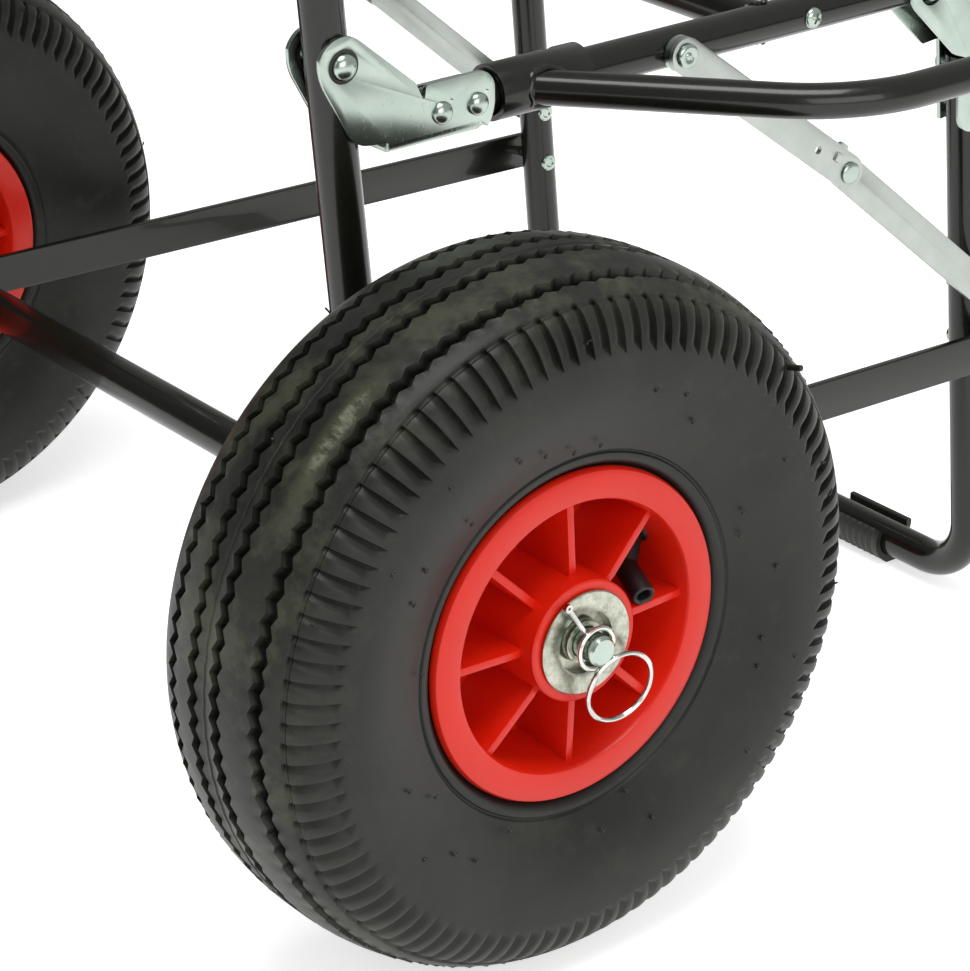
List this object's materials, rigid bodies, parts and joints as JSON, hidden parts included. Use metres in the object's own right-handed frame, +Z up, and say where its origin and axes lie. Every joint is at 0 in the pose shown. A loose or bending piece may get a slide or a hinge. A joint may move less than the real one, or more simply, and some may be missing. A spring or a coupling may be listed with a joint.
{
  "type": "folding tackle trolley",
  "caption": "Folding tackle trolley with a leaning back frame, fold-up platform, front leg frame, locking stays, side bows and pneumatic wheels.",
  "frame": {"origin": "on the ground under the middle of the whole trolley's box", "axes": "+X forward from the axle to the front legs, +Y to the left wheel, +Z up"},
  "size_m": [0.5756, 0.5494, 0.963],
  "materials": {
    "frame_black": "gloss powder coat",
    "zinc": "bright zinc plate",
    "red_plastic": "satin moulded",
    "tyre_rubber": "matt",
    "black_plastic": "ribbed, matt",
    "valve_rubber": "satin",
    "grip_foam": "foam, matt"
  },
  "bodies": {
    "back_frame": {"axle_tube": "frame_black", "back_tube": "frame_black", "back_brace": "frame_black", "handle_grip": "grip_foam", "axle_pin_left": "zinc", "axle_pin_right": "zinc", "axle_washer_left": "zinc", "axle_washer_right": "zinc", "ring_clip_left": "zinc", "ring_clip_right": "zinc", "pivot_bolt_left": "zinc", "pivot_bolt_right": "zinc"},
    "platform": {"platform_tube": "frame_black", "cross_tube": "frame_black", "rear_bracket_left": "zinc", "rear_bracket_right": "zinc", "leg_pivot_left": "zinc", "leg_pivot_right": "zinc", "stay_rivet_left": "zinc", "stay_rivet_right": "zinc", "tube_screw_left": "zinc", "tube_screw_right": "zinc"},
    "bow_left": {"bow_tube_left": "frame_black", "bow_sleeve_rear_left": "frame_black", "bow_sleeve_front_left": "frame_black"},
    "bow_right": {"bow_tube_right": "frame_black", "bow_sleeve_rear_right": "frame_black", "bow_sleeve_front_right": "frame_black"},
    "leg": {"leg_tube": "frame_black", "leg_bracket_left": "zinc", "leg_bracket_right": "zinc", "foot_clip_left": "black_plastic", "foot_clip_right": "black_plastic", "stay_foot_rivet_left": "zinc", "stay_foot_rivet_right": "zinc"},
    "bar_left": {"side_bar_left": "frame_black", "bar_sleeve_left": "frame_black", "bar_rivet_left": "zinc"},
    "bar_right": {"side_bar_right": "frame_black", "bar_sleeve_right": "frame_black", "bar_rivet_right": "zinc"},
    "upper_stay_left": {"upper_stay_left": "zinc", "knee_rivet_left": "zinc"},
    "upper_stay_right": {"upper_stay_right": "zinc", "knee_rivet_right": "zinc"},
    "lower_stay_left": {"lower_stay_left": "zinc"},
    "lower_stay_right": {"lower_stay_right": "zinc"},
    "wheel_left": {"tyre_left": "tyre_rubber", "rim_left": "red_plastic", "bearing_outer_left": "zinc", "bearing_inner_left": "zinc", "valve_left": "valve_rubber"},
    "wheel_right": {"tyre_right": "tyre_rubber", "rim_right": "red_plastic", "bearing_outer_right": "zinc", "bearing_inner_right": "zinc", "valve_right": "valve_rubber"}
  },
  "joints": [
    {"name": "platform_fold", "type": "hinge", "parent": "back_frame", "child": "platform", "pos_m": [-0.17192, 0, 0.3078], "axis": [0, -1, 0], "range_deg": [0, 78]},
    {"name": "leg_fold", "type": "hinge", "parent": "platform", "child": "leg", "pos_m": [0.10735, 0, 0.2813], "axis": [0, -1, 0], "range_deg": [-79.2, 0]},
    {"name": "bar_fold_left", "type": "hinge", "parent": "back_frame", "child": "bar_left", "pos_m": [-0.15775, 0.1555, 0.13], "axis": [0, -1, 0], "range_deg": [0, 71]},
    {"name": "bar_fold_right", "type": "hinge", "parent": "back_frame", "child": "bar_right", "pos_m": [-0.15775, -0.1555, 0.13], "axis": [0, -1, 0], "range_deg": [0, 71]},
    {"name": "upper_stay_turn_left", "type": "hinge", "parent": "platform", "child": "upper_stay_left", "pos_m": [-0.01975, 0.1526, 0.2813], "axis": [0, -1, 0], "range_deg": [-123.3, 0]},
    {"name": "upper_stay_turn_right", "type": "hinge", "parent": "platform", "child": "upper_stay_right", "pos_m": [-0.01975, -0.1526, 0.2813], "axis": [0, -1, 0], "range_deg": [-123.3, 0]},
    {"name": "lower_stay_turn_left", "type": "hinge", "parent": "leg", "child": "lower_stay_left", "pos_m": [0.14519, 0.1501, 0.1474], "axis": [0, -1, 0], "range_deg": [0, 105.5]},
    {"name": "lower_stay_turn_right", "type": "hinge", "parent": "leg", "child": "lower_stay_right", "pos_m": [0.14519, -0.1501, 0.1474], "axis": [0, -1, 0], "range_deg": [0, 105.5]},
    {"name": "bow_fold_left", "type": "hinge", "parent": "platform", "child": "bow_left", "pos_m": [0.06725, 0.1412, 0.2813], "axis": [1, 0, 0], "range_deg": [0, 164]},
    {"name": "bow_fold_right", "type": "hinge", "parent": "platform", "child": "bow_right", "pos_m": [0.06725, -0.1412, 0.2813], "axis": [-1, 0, 0], "range_deg": [0, 164]},
    {"name": "wheel_spin_left", "type": "hinge", "parent": "back_frame", "child": "wheel_left", "pos_m": [-0.15775, 0.2262, 0.13], "axis": [0, 1, 0], "continuous": true},
    {"name": "wheel_spin_right", "type": "hinge", "parent": "back_frame", "child": "wheel_right", "pos_m": [-0.15775, -0.2262, 0.13], "axis": [0, 1, 0], "continuous": true}
  ],
  "couplings": [
    {"joint": "leg_fold", "follows": "platform_fold", "ratio": -1.0152},
    {"joint": "bar_fold_left", "follows": "platform_fold", "ratio": 0.90996},
    {"joint": "bar_fold_right", "follows": "platform_fold", "ratio": 0.90996},
    {"joint": "upper_stay_turn_left", "follows": "platform_fold", "ratio": -1.5795},
    {"joint": "upper_stay_turn_right", "follows": "platform_fold", "ratio": -1.5795},
    {"joint": "lower_stay_turn_left", "follows": "platform_fold", "ratio": 1.3518},
    {"joint": "lower_stay_turn_right", "follows": "platform_fold", "ratio": 1.3518}
  ]
}
